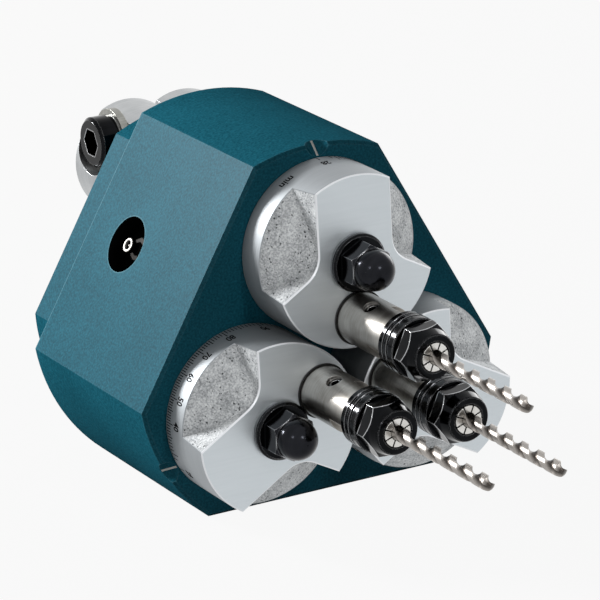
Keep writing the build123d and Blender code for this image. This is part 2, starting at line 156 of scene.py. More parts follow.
# Powder-coated aluminium: a thin teal coat with an orange-peel grain, drawn coarse enough to show, and a
# broad soft gloss that stays even towards the edges
coatLook = {"teal": "#206a7d", "deep": "#115060", "grainMm": 0.7, "driftMm": 34.0, "driftShare": 0.35,
            "toneLow": 0.5, "toneHigh": 0.85, "roughness": 0.35, "roughBelow": 0.04, "roughAbove": 0.05,
            "grainDepthMm": 0.035, "grainBump": 0.5, "glossShare": 0.0138, "glossIndex": 4.0,
            # the edge tone is a paler teal painted on outer edges as highlight
            "edge": "#6fa3b2", "coatGlintMm": 0.55, "coatGlintFrom": 0.86, "coatGlintFull": 0.6, "coatGlintShare": 0.7,
            "bore": "#0b0c0d", "boreMm": 9.15, "boreMidMm": 44.1, "boreHalfMm": 3.7}


def powderCoat(name, look, boreAt=None, boreAxis=None):
    material, tree = newMaterial(name)
    place = addNode(tree, "ShaderNodeTexCoord")
    grain = addNode(tree, "ShaderNodeTexNoise", None,
                    {"Vector": place.outputs["Object"], "Scale": 1 / (look["grainMm"] * mm), "Detail": 3.0})
    drift = addNode(tree, "ShaderNodeTexNoise", None,
                    {"Vector": place.outputs["Object"], "Scale": 1 / (look["driftMm"] * mm), "Detail": 4.0})
    both = addNode(tree, "ShaderNodeMath", {"operation": "MULTIPLY_ADD"},
                   {0: drift.outputs["Fac"], 1: look["driftShare"], 2: grain.outputs["Fac"]})
    share = addNode(tree, "ShaderNodeMapRange", None,
                    {"Value": both.outputs[0], 1: look["toneLow"], 2: look["toneHigh"]})
    colour = addNode(tree, "ShaderNodeMix", {"data_type": "RGBA"},
                     {0: share.outputs[0], 6: toLinear(look["deep"]), 7: toLinear(look["teal"])})
    paint = colour.outputs[2]
    if boreAt is not None:
        # painted highlight: a paler teal along outer edges, where short inward rays meet the next face
        inward = addNode(tree, "ShaderNodeAmbientOcclusion",
                         {"inside": True, "only_local": True, "samples": 6},
                         {"Distance": look["coatGlintMm"] * mm})
        paintedEdgeGlint = addNode(tree, "ShaderNodeMapRange", None,
                       {"Value": inward.outputs["AO"], 1: look["coatGlintFrom"], 2: look["coatGlintFull"],
                        4: look["coatGlintShare"]})
        paint = addNode(tree, "ShaderNodeMix", {"data_type": "RGBA"},
                        {0: paintedEdgeGlint.outputs[0], 6: paint, 7: toLinear(look["edge"])}).outputs[2]
        # painted shade: the counterbore's wall under the flat is painted near black
        fromAxis = addNode(tree, "ShaderNodeVectorMath", {"operation": "SUBTRACT"},
                           {0: place.outputs["Object"], 1: boreAt})
        offAxis = addNode(tree, "ShaderNodeVectorMath", {"operation": "CROSS_PRODUCT"},
                          {0: fromAxis.outputs[0], 1: boreAxis})
        gap = addNode(tree, "ShaderNodeVectorMath", {"operation": "LENGTH"}, {0: offAxis.outputs[0]})
        level = addNode(tree, "ShaderNodeVectorMath", {"operation": "DOT_PRODUCT"},
                        {0: place.outputs["Object"], 1: boreAxis})
        near = addNode(tree, "ShaderNodeMath", {"operation": "LESS_THAN"},
                       {0: gap.outputs["Value"], 1: look["boreMm"] * mm})
        sunk = addNode(tree, "ShaderNodeMath", {"operation": "COMPARE"},
                       {0: level.outputs["Value"], 1: look["boreMidMm"] * mm, 2: look["boreHalfMm"] * mm})
        inBore = addNode(tree, "ShaderNodeMath", {"operation": "MULTIPLY"},
                         {0: near.outputs[0], 1: sunk.outputs[0]})
        paint = addNode(tree, "ShaderNodeMix", {"data_type": "RGBA"},
                        {0: inBore.outputs[0], 6: paint, 7: toLinear(look["bore"])}).outputs[2]
    rough = addNode(tree, "ShaderNodeMapRange", None,
                    {"Value": drift.outputs["Fac"], 3: look["roughness"] - look["roughBelow"],
                     4: look["roughness"] + look["roughAbove"]})
    bump = addNode(tree, "ShaderNodeBump", None,
                   {"Strength": look["grainBump"], "Distance": look["grainDepthMm"] * mm,
                    "Height": grain.outputs["Fac"]})
    shader = addNode(tree, "ShaderNodeBsdfPrincipled", None,
                     {"Base Color": paint, "Roughness": rough.outputs[0], "Normal": bump.outputs[0],
                      "Specular IOR Level": 0.0, "Coat Weight": look["glossShare"],
                      "Coat IOR": look["glossIndex"], "Coat Roughness": look["roughness"],
                      "Coat Normal": bump.outputs[0]})
    addNode(tree, "ShaderNodeOutputMaterial", None, {"Surface": shader.outputs[0]})
    return material


# Gravity-cast aluminium, faced and turned: satin machined lands, sandy grey pitted skin in the two pockets
discLook = {"land": "#cbd1d5", "landShade": "#c1c8cc", "rim": "#9a9ea1", "rimShade": "#8b8f92",
            # the edge tone is a paler grey painted on the land's bevel as highlight
            "skin": "#c9cbcc", "skinShade": "#898c8e", "pitShade": "#3a3c3e", "edge": "#d8dadd",
            "grainMm": 0.6, "patchMm": 5.0, "patchShare": 0.45, "sandLow": 0.55, "sandHigh": 0.9,
            "pitMm": 1.4, "raggedShare": 0.55, "pitLow": 0.5, "pitHigh": 0.6,
            "lapMm": 0.9, "lapDeg": 24.0, "lapStretch": 0.06, "turnMm": 0.4, "turnStretch": 0.04,
            "rimMm": 26.55, "landLowMm": 21.0, "glintLowMm": 21.06, "glintHighMm": 21.46,
            "roughness": 0.38, "rimRoughness": 0.55, "skinRoughness": 0.74, "markRoughness": 0.08,
            "rimMetal": 0.95, "markBump": 0.06, "skinBump": 0.9, "bumpMm": 0.14}


def castDisc(name, look, centre):
    material, tree = newMaterial(name)
    place = addNode(tree, "ShaderNodeTexCoord")
    shift = addNode(tree, "ShaderNodeMapping", None,
                    {"Vector": place.outputs["Object"], "Location": (-centre.x, -frontLevel, -centre.z)})
    axes = addNode(tree, "ShaderNodeSeparateXYZ", None, {0: shift.outputs[0]})
    flat = addNode(tree, "ShaderNodeCombineXYZ", None, {0: axes.outputs[0], 2: axes.outputs[2]})
    radius = addNode(tree, "ShaderNodeVectorMath", {"operation": "LENGTH"}, {0: flat.outputs[0]})
    # pocket: inside the rim and below the faced land
    inRim = addNode(tree, "ShaderNodeMath", {"operation": "LESS_THAN"},
                    {0: radius.outputs["Value"], 1: look["rimMm"] * mm})
    below = addNode(tree, "ShaderNodeMath", {"operation": "GREATER_THAN"},
                    {0: axes.outputs[1], 1: -look["landLowMm"] * mm})
    pocket = addNode(tree, "ShaderNodeMath", {"operation": "MULTIPLY"},
                     {0: inRim.outputs[0], 1: below.outputs[0]})
    grain = addNode(tree, "ShaderNodeTexNoise", None,
                    {"Vector": place.outputs["Object"], "Scale": 1 / (look["grainMm"] * mm), "Detail": 4.0,
                     "Roughness": 0.65})
    pits = addNode(tree, "ShaderNodeTexVoronoi", None,
                   {"Vector": place.outputs["Object"], "Scale": 1 / (look["pitMm"] * mm)})
    patch = addNode(tree, "ShaderNodeTexNoise", None,
                    {"Vector": place.outputs["Object"], "Scale": 1 / (look["patchMm"] * mm), "Detail": 3.0})
    # the darker sand tone is partly grain and partly painted micro-shade of the sandy skin
    mottle = addNode(tree, "ShaderNodeMath", {"operation": "MULTIPLY_ADD"},
                     {0: patch.outputs["Fac"], 1: look["patchShare"], 2: grain.outputs["Fac"]})
    sandShare = addNode(tree, "ShaderNodeMapRange", None,
                        {"Value": mottle.outputs[0], 1: look["sandLow"], 2: look["sandHigh"]})
    sand = addNode(tree, "ShaderNodeMix", {"data_type": "RGBA"},
                   {0: sandShare.outputs[0], 6: toLinear(look["skinShade"]), 7: toLinear(look["skin"])})
    # pits gather in patches and their outline follows the grain; their dark tone is painted shade in the
    # small holes
    ragged = addNode(tree, "ShaderNodeMath", {"operation": "MULTIPLY_ADD"},
                     {0: mottle.outputs[0], 1: look["raggedShare"], 2: pits.outputs["Distance"]})
    pitShare = addNode(tree, "ShaderNodeMapRange", None,
                       {"Value": ragged.outputs[0], 1: look["pitLow"], 2: look["pitHigh"]})
    skin = addNode(tree, "ShaderNodeMix", {"data_type": "RGBA"},
                   {0: pitShare.outputs[0], 6: toLinear(look["pitShade"]), 7: sand.outputs[2]})
    # lapping marks: noise drawn out across the face
    lapPlace = addNode(tree, "ShaderNodeMapping", None,
                       {"Vector": place.outputs["Object"], "Rotation": (0, math.radians(look["lapDeg"]), 0),
                        "Scale": (look["lapStretch"], 1, 1)})
    lap = addNode(tree, "ShaderNodeTexNoise", None,
                  {"Vector": lapPlace.outputs[0], "Scale": 1 / (look["lapMm"] * mm), "Detail": 3.0})
    # turning marks round the rim: noise fine along the axis and long across it
    turnPlace = addNode(tree, "ShaderNodeMapping", None,
                        {"Vector": place.outputs["Object"],
                         "Scale": (look["turnStretch"], 1, look["turnStretch"])})
    turning = addNode(tree, "ShaderNodeTexNoise", None,
                      {"Vector": turnPlace.outputs[0], "Scale": 1 / (look["turnMm"] * mm), "Detail": 2.0})
    marks = addNode(tree, "ShaderNodeMix", None,
                    {0: inRim.outputs[0], 2: turning.outputs["Fac"], 3: lap.outputs["Fac"]})
    land = addNode(tree, "ShaderNodeMix", {"data_type": "RGBA"},
                   {0: marks.outputs[0], 6: toLinear(look["landShade"]), 7: toLinear(look["land"])})
    rim = addNode(tree, "ShaderNodeMix", {"data_type": "RGBA"},
                  {0: marks.outputs[0], 6: toLinear(look["rimShade"]), 7: toLinear(look["rim"])})
    machined = addNode(tree, "ShaderNodeMix", {"data_type": "RGBA"},
                       {0: inRim.outputs[0], 6: rim.outputs[2], 7: land.outputs[2]})
    # painted highlight: a paler band on the narrow bevel between the land and the pocket or the rim
    overLow = addNode(tree, "ShaderNodeMath", {"operation": "LESS_THAN"},
                      {0: axes.outputs[1], 1: -look["glintLowMm"] * mm})
    underHigh = addNode(tree, "ShaderNodeMath", {"operation": "GREATER_THAN"},
                        {0: axes.outputs[1], 1: -look["glintHighMm"] * mm})
    edge = addNode(tree, "ShaderNodeMath", {"operation": "MULTIPLY"},
                   {0: overLow.outputs[0], 1: underHigh.outputs[0]})
    faced = addNode(tree, "ShaderNodeMix", {"data_type": "RGBA"},
                    {0: edge.outputs[0], 6: machined.outputs[2], 7: toLinear(look["edge"])})
    colour = addNode(tree, "ShaderNodeMix", {"data_type": "RGBA"},
                     {0: pocket.outputs[0], 6: faced.outputs[2], 7: skin.outputs[2]})
    base = addNode(tree, "ShaderNodeMapRange", None,
                   {"Value": inRim.outputs[0], 3: look["rimRoughness"], 4: look["roughness"]})
    landRough = addNode(tree, "ShaderNodeMath", {"operation": "MULTIPLY_ADD"},
                        {0: marks.outputs[0], 1: look["markRoughness"], 2: base.outputs[0]})
    rough = addNode(tree, "ShaderNodeMix", None,
                    {0: pocket.outputs[0], 2: landRough.outputs[0], 3: look["skinRoughness"]})
    metal = addNode(tree, "ShaderNodeMapRange", None,
                    {"Value": inRim.outputs[0], 3: look["rimMetal"], 4: 1.0})
    sunk = addNode(tree, "ShaderNodeMath", {"operation": "MULTIPLY"},
                   {0: grain.outputs["Fac"], 1: pitShare.outputs[0]})
    height = addNode(tree, "ShaderNodeMix", None,
                     {0: pocket.outputs[0], 2: marks.outputs[0], 3: sunk.outputs[0]})
    depth = addNode(tree, "ShaderNodeMapRange", None,
                    {"Value": pocket.outputs[0], 3: look["markBump"], 4: look["skinBump"]})
    bump = addNode(tree, "ShaderNodeBump", None,
                   {"Strength": depth.outputs[0], "Distance": look["bumpMm"] * mm,
                    "Height": height.outputs[0]})
    shader = addNode(tree, "ShaderNodeBsdfPrincipled", None,
                     {"Base Color": colour.outputs[2], "Metallic": metal.outputs[0],
                      "Roughness": rough.outputs[0], "Normal": bump.outputs[0]})
    addNode(tree, "ShaderNodeOutputMaterial", None, {"Surface": shader.outputs[0]})
    return material


# Bare and blacked metals: tool lines run round the axis (Y), so the noise is fine along Y and long across,
# and coarser than the real lines so that it shows
turnedGrain = {"stretch": 0.08, "lineShare": 0.7, "toneLow": 0.55, "toneHigh": 1.15, "cloudMm": 6.0,
               "roughBelow": 0.04, "roughAbove": 0.05, "wearGlintFrom": 0.85, "wearGlintFull": 0.6,
               "bevelMm": 0.25, "lineBump": 0.12, "lineDepthMm": 0.03}
turnedLooks = {
    # ground steel: fine satin lines and a broad gleam along the shank
    "groundSpindleSteel": {"light": "#aeaba6", "dark": "#87837d", "lineMm": 0.5, "roughness": 0.32},
    # cast aluminium, turned: pale, a little cloudy
    "turnedCollarAluminium": {"light": "#babcbd", "dark": "#a3a6a8", "lineMm": 0.7, "roughness": 0.3},
    # hobbed steel: darker grey with clear cutter lines
    "hobbedGearSteel": {"light": "#9a999a", "dark": "#77767a", "lineMm": 0.8, "roughness": 0.34},
    # hardened and ground steel: the brightest faces
    "groundColletSteel": {"light": "#e4e3e0", "dark": "#c4c2bd", "lineMm": 0.4, "roughness": 0.24},
    # turned bronze: warm brown gold
    "turnedBronze": {"light": "#b98a4a", "dark": "#94682f", "lineMm": 0.6, "roughness": 0.32},
    # zinc-plated steel: even light grey
    "zincPlatedSteel": {"light": "#a5a5a1", "dark": "#82827c", "lineMm": 0.5, "roughness": 0.3},
    # phosphated steel: near black over the body as painted shade in the counterbore, the head's face and ball
    # in a bright steel grey as painted highlight
    "phosphatedNippleSteel": {"light": "#110f0d", "dark": "#0b0a09", "lineMm": 0.5, "roughness": 0.5,
                              "wearAndHighlight": "#8f8d89", "wearGlintMm": 0.02},
    # black oxide on turned steel: glossy near black, with a bright steel tone along the edges that is painted
    # highlight and partly edge wear
    "blackOxideSteel": {"light": "#1a1b1d", "dark": "#121314", "lineMm": 0.6, "roughness": 0.11,
                        "wearAndHighlight": "#b4b5b7", "wearGlintMm": 0.6},
    # black oxide on a cap nut: the same, with a tumbled and softer dome over its hexagon
    "blackOxideCap": {"light": "#26272b", "dark": "#1d1e21", "lineMm": 0.6, "roughness": 0.12,
                      "domeMm": 6.5, "domeRoughness": 0.17, "wearAndHighlight": "#b4b5b7", "wearGlintMm": 0.6},
}
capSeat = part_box("acorn_nut_1")[1].y


def turnedMetal(name, look, shared):
    material, tree = newMaterial(name)
    place = addNode(tree, "ShaderNodeTexCoord")
    drawn = addNode(tree, "ShaderNodeMapping", None,
                    {"Vector": place.outputs["Object"], "Scale": (shared["stretch"], 1, shared["stretch"])})
    lines = addNode(tree, "ShaderNodeTexNoise", None,
                    {"Vector": drawn.outputs[0], "Scale": 1 / (look["lineMm"] * mm), "Detail": 4.0})
    cloud = addNode(tree, "ShaderNodeTexNoise", None,
                    {"Vector": place.outputs["Object"], "Scale": 1 / (shared["cloudMm"] * mm), "Detail": 3.0})
    share = addNode(tree, "ShaderNodeMath", {"operation": "MULTIPLY_ADD"},
                    {0: lines.outputs["Fac"], 1: shared["lineShare"], 2: cloud.outputs["Fac"]})
    level = addNode(tree, "ShaderNodeMapRange", None,
                    {"Value": share.outputs[0], 1: shared["toneLow"], 2: shared["toneHigh"]})
    colour = addNode(tree, "ShaderNodeMix", {"data_type": "RGBA"},
                     {0: level.outputs[0], 6: toLinear(look["dark"]), 7: toLinear(look["light"])})
    tone = colour.outputs[2]
    if "wearAndHighlight" in look:
        # bright steel tone on marked points and on outer edges, where short inward rays meet the next face:
        # painted highlight, on the nuts partly edge wear
        inward = addNode(tree, "ShaderNodeAmbientOcclusion",
                         {"inside": True, "only_local": True, "samples": 8},
                         {"Distance": look["wearGlintMm"] * mm})
        wearGlint = addNode(tree, "ShaderNodeMapRange", None,
                       {"Value": inward.outputs["AO"], 1: shared["wearGlintFrom"], 2: shared["wearGlintFull"]})
        marked = addNode(tree, "ShaderNodeAttribute", {"attribute_name": "wearAndHighlight"})
        most = addNode(tree, "ShaderNodeMath", {"operation": "MAXIMUM"},
                       {0: wearGlint.outputs[0], 1: marked.outputs["Fac"]})
        tone = addNode(tree, "ShaderNodeMix", {"data_type": "RGBA"},
                       {0: most.outputs[0], 6: tone, 7: toLinear(look["wearAndHighlight"])}).outputs[2]
    rough = addNode(tree, "ShaderNodeMapRange", None,
                    {"Value": cloud.outputs["Fac"], 3: look["roughness"] - shared["roughBelow"],
                     4: look["roughness"] + shared["roughAbove"]})
    finish = rough.outputs[0]
    if "domeMm" in look:
        axes = addNode(tree, "ShaderNodeSeparateXYZ", None, {0: place.outputs["Object"]})
        onDome = addNode(tree, "ShaderNodeMath", {"operation": "LESS_THAN"},
                         {0: axes.outputs[1], 1: capSeat - look["domeMm"] * mm})
        finish = addNode(tree, "ShaderNodeMix", None,
                         {0: onDome.outputs[0], 2: finish, 3: look["domeRoughness"]}).outputs[0]
    edge = addNode(tree, "ShaderNodeBevel", {"samples": 6}, {"Radius": shared["bevelMm"] * mm})
    bump = addNode(tree, "ShaderNodeBump", None,
                   {"Strength": shared["lineBump"], "Distance": shared["lineDepthMm"] * mm,
                    "Height": lines.outputs["Fac"], "Normal": edge.outputs[0]})
    shader = addNode(tree, "ShaderNodeBsdfPrincipled", None,
                     {"Base Color": tone, "Metallic": 1.0, "Roughness": finish, "Normal": bump.outputs[0]})
    addNode(tree, "ShaderNodeOutputMaterial", None, {"Surface": shader.outputs[0]})
    return material


# Printed and moulded finishes: matt and slightly uneven
mattGrain = {"cloudMm": 1.2, "roughSpread": 0.05}
mattLooks = {
    # ink in the etched rim scale: dead matt black
    "etchedScaleInk": {"light": "#131314", "dark": "#08080a", "roughness": 0.75, "gloss": 0.0},
    # brushed-in enamel: off-white with some gloss
    "indexEnamel": {"light": "#f2f1ec", "dark": "#d9d8d2", "roughness": 0.45, "gloss": 0.5},
    # moulded nitrile rubber: black with a dull sheen
    "nitrileRubber": {"light": "#141415", "dark": "#0a0a0b", "roughness": 0.55, "gloss": 0.4},
}


def mattFinish(name, look, shared):
    material, tree = newMaterial(name)
    place = addNode(tree, "ShaderNodeTexCoord")
    cloud = addNode(tree, "ShaderNodeTexNoise", None,
                    {"Vector": place.outputs["Object"], "Scale": 1 / (shared["cloudMm"] * mm), "Detail": 3.0})
    colour = addNode(tree, "ShaderNodeMix", {"data_type": "RGBA"},
                     {0: cloud.outputs["Fac"], 6: toLinear(look["dark"]), 7: toLinear(look["light"])})
    rough = addNode(tree, "ShaderNodeMapRange", None,
                    {"Value": cloud.outputs["Fac"], 3: look["roughness"] - shared["roughSpread"],
                     4: look["roughness"] + shared["roughSpread"]})
    shader = addNode(tree, "ShaderNodeBsdfPrincipled", None,
                     {"Base Color": colour.outputs[2], "Roughness": rough.outputs[0],
                      "Specular IOR Level": look["gloss"]})
    addNode(tree, "ShaderNodeOutputMaterial", None, {"Surface": shader.outputs[0]})
    return material


# the left flat looks out midway between the first two stations, and the nipple stands in its counterbore
flatTurn = math.radians((stationDeg(1) + stationDeg(2)) / 2)
leftFlat = Vector((math.cos(flatTurn), 0, math.sin(flatTurn)))
nippleLow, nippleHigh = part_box("grease_nipple")
nippleMiddle = (nippleLow + nippleHigh) / 2

finishes = {name: turnedMetal(name, look, turnedGrain) for name, look in turnedLooks.items()}
finishes.update({name: mattFinish(name, look, mattGrain) for name, look in mattLooks.items()})
finishes["tealPowderCoat"] = powderCoat("tealPowderCoat", coatLook)
finishes["tealPowderCoatBored"] = powderCoat("tealPowderCoatBored", coatLook, nippleMiddle, leftFlat)

nodeFinish = {
    "tealPowderCoatBored": ["housing_body"],
    "tealPowderCoat": ["rear_cover"],
    "turnedCollarAluminium": ["quill_collar", "stud_plate"],
    "blackOxideCap": ["acorn_nut"],
    "blackOxideSteel": ["clamp_screw", "clamp_washer", "collet_nut", "cover_screws", "collar_screws",
                        "set_screw"],
    "groundSpindleSteel": ["spindle", "drive_shaft", "front_bearing", "rear_bearing"],
    "hobbedGearSteel": ["spindle_pinion", "idler_gear", "sun_gear", "sun_key", "clamp_stud"],
    "groundColletSteel": ["collet"],
    "turnedBronze": ["idler_sleeve", "pilot_bush", "roller_cage"],
    "zincPlatedSteel": ["lug_washer"],
    "phosphatedNippleSteel": ["grease_nipple"],
}
for finishName, stems in nodeFinish.items():
    for nodeName in nodes:
        if nodeName in stems or nodeName[:-2] in stems:
            dress(nodeName, finishes[finishName])
for k in stations:
    dress(f"eccentric_disc_{k}", castDisc(f"castDiscAluminium{k}", discLook, joints[f"disc_swivel_{k}"]))
print("materials on", len(nodes), "nodes")

# Rim scale: the pitch circle in mm, printed round each disc from its index
rimScale = {"radiusMm": 26.8, "stationMm": 31.5, "throwMm": 17.5, "restDeg": 2.0, "first": 28, "last": 97,
            "unitMm": 2.2, "fiveMm": 2.9, "tenMm": 3.7, "lineMm": 0.26, "footMm": 0.6, "inkMm": 0.03,
            "sinkMm": 0.02, "digitMm": 4.0, "boldMm": 0.08, "curveSteps": 3, "digitHeightMm": 4.9,
            "squeeze": 0.68, "numbers": (28, 40, 50, 60, 70, 80, 90),
            "word": "min", "wordDeg": -31.0, "wordHeightMm": 3.9, "wordSqueeze": 0.86}


# swivel angle that sets a pitch circle: law of cosines on centre distance, throw and half the circle
def swivelFor(circle, look):
    c, e = look["stationMm"], look["throwMm"]
    cosine = (c * c + e * e - (np.asarray(circle) / 2) ** 2) / (2 * c * e)
    return np.degrees(np.arccos(np.clip(cosine, -1, 1)))


# rim point: turn angle a, radius r and height h in front of the housing face, all in mm and degrees
def rimPoint(centre, a, r, h):
    turn = np.radians(a)
    return np.stack([centre.x + mm * r * np.cos(turn), frontLevel - mm * h + 0 * turn,
                     centre.z + mm * r * np.sin(turn)], -1)


# ticks: thin bars wrapped on the rim, eight corners each
def scaleTicks(k, look):
    circles = np.arange(look["first"], look["last"] + 1)
    middle = stationDeg(k) + look["restDeg"] - swivelFor(circles, look)
    short = np.where(circles % 5 == 0, look["fiveMm"], look["unitMm"])
    length = np.where(circles % 10 == 0, look["tenMm"], short)
    half = np.degrees(look["lineMm"] / 2 / look["radiusMm"])
    side = np.array([-1, 1, 1, -1, -1, 1, 1, -1])
    top = np.array([0, 0, 1, 1, 0, 0, 1, 1])
    out = np.array([0, 0, 0, 0, 1, 1, 1, 1])
    angle = middle[:, None] + side * half
    height = look["footMm"] + top * length[:, None]
    radius = look["radiusMm"] - look["sinkMm"] + out * (look["sinkMm"] + look["inkMm"]) + 0 * angle
    points = rimPoint(joints[f"disc_swivel_{k}"], angle, radius, height)
    sides = np.array([[0, 1, 2, 3], [4, 7, 6, 5], [0, 4, 5, 1], [1, 5, 6, 2], [2, 6, 7, 3], [3, 7, 4, 0]])
    faces = (np.arange(len(circles))[:, None, None] * len(side) + sides).reshape(-1, 4)
    mesh = bpy.data.meshes.new(f"scaleTicks{k}")
    mesh.from_pydata(points.reshape(-1, 3).tolist(), [], faces.tolist())
    mesh.update()
    return mesh


# numbers: flat text laid round the rim, tops towards the front; x turns to angle, y to height, z to radius
def scaleText(k, look, words):
    corners, polygons, start = [], [], 0
    for word, turn, foot, squeeze in words:
        curve = bpy.data.curves.new("digits", "FONT")
        curve.body = word
        curve.size = look["digitMm"]
        curve.align_x = "CENTER"
        curve.extrude = look["inkMm"]
        curve.offset = look["boldMm"]
        curve.resolution_u = look["curveSteps"]
        holder = bpy.data.objects.new("digits", curve)
        flat = bpy.data.meshes.new_from_object(holder)
        raw = np.empty(len(flat.vertices) * 3)
        flat.vertices.foreach_get("co", raw)
        raw = raw.reshape(-1, 3)
        angle = turn + np.degrees(raw[:, 0] * squeeze / look["radiusMm"])
        corners.append(rimPoint(joints[f"disc_swivel_{k}"], angle, look["radiusMm"] + raw[:, 2],
                                foot + raw[:, 1]))
        loops = np.empty(len(flat.loops), dtype=int)
        flat.loops.foreach_get("vertex_index", loops)
        starts = np.empty(len(flat.polygons), dtype=int)
        flat.polygons.foreach_get("loop_start", starts)
        polygons += [face.tolist() for face in np.split(loops + start, starts[1:])]
        start += len(raw)
        bpy.data.objects.remove(holder)
        bpy.data.curves.remove(curve)
        bpy.data.meshes.remove(flat)
    mesh = bpy.data.meshes.new(f"scaleNumbers{k}")
    mesh.from_pydata(np.vstack(corners).tolist(), [], polygons)
    mesh.update()
    return mesh


ink = finishes["etchedScaleInk"]
for k in stations:
    zero = stationDeg(k) + rimScale["restDeg"]
    words = [(str(n), zero - float(swivelFor(n, rimScale)), rimScale["digitHeightMm"], rimScale["squeeze"])
             for n in rimScale["numbers"]]
    words.append((rimScale["word"], stationDeg(k) - rimScale["wordDeg"], rimScale["wordHeightMm"],
                  rimScale["wordSqueeze"]))
    newPiece(f"scaleTicks{k}", scaleTicks(k, rimScale), ink, f"disc_{k}", smooth=False)
    newPiece(f"scaleNumbers{k}", scaleText(k, rimScale, words), ink, f"disc_{k}", smooth=False)
print("rim scales printed on", len(stations), "discs")

# Index line: a strip of white enamel down the middle of each scoop in the housing's front edge
indexLine = {"outerMm": 62.5, "bottomMm": 3.9, "scoopMm": 4.6, "widthMm": 0.75, "liftMm": 0.03, "sinkMm": 0.1,
             "ends": (0.03, 0.97), "rows": 12}


# strip on the scoop's wall: u runs down the groove and v across it, over the top and back underneath;
# the wall rises as v squared over twice the scoop's radius
def indexStrip(k, look):
    turn = math.radians(stationDeg(k))
    u = np.linspace(*look["ends"], look["rows"])[:, None]
    v = np.array([-1, -0.33, 0.33, 1, 1, 0.33, -0.33, -1])[None, :] * look["widthMm"] / 2
    onTop = np.array([1, 1, 1, 1, 0, 0, 0, 0])[None, :]
    lift = onTop * (look["liftMm"] + look["sinkMm"]) - look["sinkMm"]
    rise = (lift + v ** 2 / (2 * look["scoopMm"])) / math.sqrt(2)
    radial = look["outerMm"] - u * look["bottomMm"] + rise
    ahead = -(1 - u) * look["bottomMm"] + rise
    across = v + 0 * u
    points = np.stack([radial * math.cos(turn) - across * math.sin(turn), frontLevel / mm - ahead,
                       radial * math.sin(turn) + across * math.cos(turn)], -1) * mm
    return gridMesh(f"indexLine{k}", points, closeColumns=True, capEnds=True)


for k in stations:
    newPiece(f"indexLine{k}", indexStrip(k, indexLine), finishes["indexEnamel"], "housing")

# Dust lip: a rubber ring in the disc's mouth round each spindle
dustLip = {"profileMm": ((8.06, -1.2), (8.06, 0.15), (8.12, 0.32), (8.3, 0.4), (8.5, 0.3), (8.55, 0.06),
                         (8.5, 0.01), (8.27, 0.01), (8.27, -1.2)), "faceMm": 21.5, "around": 96}


# ring: the profile (radius, height over the face) turned round the spindle's axis
def lipRing(k, look):
    centre = joints[f"cage_roll_{k}"]
    turn = np.linspace(0, 2 * math.pi, look["around"], endpoint=False)[:, None]
    r, h = np.array(look["profileMm"]).T
    points = np.stack([centre.x + mm * r * np.cos(turn), frontLevel - mm * (look["faceMm"] + h) + 0 * turn,
                       centre.z + mm * r * np.sin(turn)], -1)
    return gridMesh(f"dustLip{k}", points, closeRows=True, closeColumns=True)


for k in stations:
    newPiece(f"dustLip{k}", lipRing(k, dustLip), finishes["nitrileRubber"], f"disc_{k}")
print("index lines and dust lips made")

# Twist drills: two round flutes wound round a thin web, run out into the plain shank inside the collet
twistDrill = {"radiusMm": 2.19, "shankMm": 2.25, "webMm": 0.68, "fluteMm": 2.6, "pitchMm": 16.3,
              "pointDeg": 118.0, "sunkMm": 3.0, "runOutMm": 2.0, "stepMm": 0.25, "around": 96, "tipMm": 0.04}


# radius over turn angle: the drill's circle, cut where the ray meets either flute's circle
def fluteRadius(turn, look):
    far = look["webMm"] + look["fluteMm"]
    inside = look["fluteMm"] ** 2 - (far * np.sin(turn)) ** 2
    hit = far * np.abs(np.cos(turn)) - np.sqrt(np.maximum(inside, 0))
    return np.where(inside > 0, np.minimum(hit, look["radiusMm"]), look["radiusMm"])


# drill: that section turned steadily along the axis, its radius held inside the point's cone
def drillSurface(k, look):
    low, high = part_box(f"twist_drill_{k}")
    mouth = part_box(f"collet_nut_{k}")[0].y
    centre = joints[f"cage_roll_{k}"]
    length = (high.y - low.y) / mm
    along = np.append(np.arange(0, length, look["stepMm"]), length)[:, None]
    fromFlute = along - (high.y - mouth) / mm + look["sunkMm"]
    turn = np.linspace(0, 2 * math.pi, look["around"], endpoint=False)[None, :]
    share = np.clip(fromFlute / look["runOutMm"], 0, 1)
    radius = (1 - share) * look["shankMm"] + share * fluteRadius(turn, look)
    cone = (length - along) * math.tan(math.radians(look["pointDeg"] / 2)) + look["tipMm"]
    radius = np.minimum(radius, cone)
    wound = turn + 2 * math.pi * fromFlute / look["pitchMm"]
    points = np.stack([centre.x + mm * radius * np.cos(wound), high.y - mm * along + 0 * wound,
                       centre.z + mm * radius * np.sin(wound)], -1)
    return gridMesh(f"twistDrill{k}", points, closeColumns=True, capEnds=True)


# Ground high-speed steel: bright lands and flute faces, darker towards the axis as painted shade deep in
# the flutes
drillLook = {"land": "#a39e99", "web": "#3f3a36", "webMm": 1.0, "landMm": 2.1, "lineMm": 0.4,
             "lineShare": 0.3, "toneLow": 0.1, "toneHigh": 1.2, "roughness": 0.34, "roughBelow": 0.04,
             "roughAbove": 0.06}


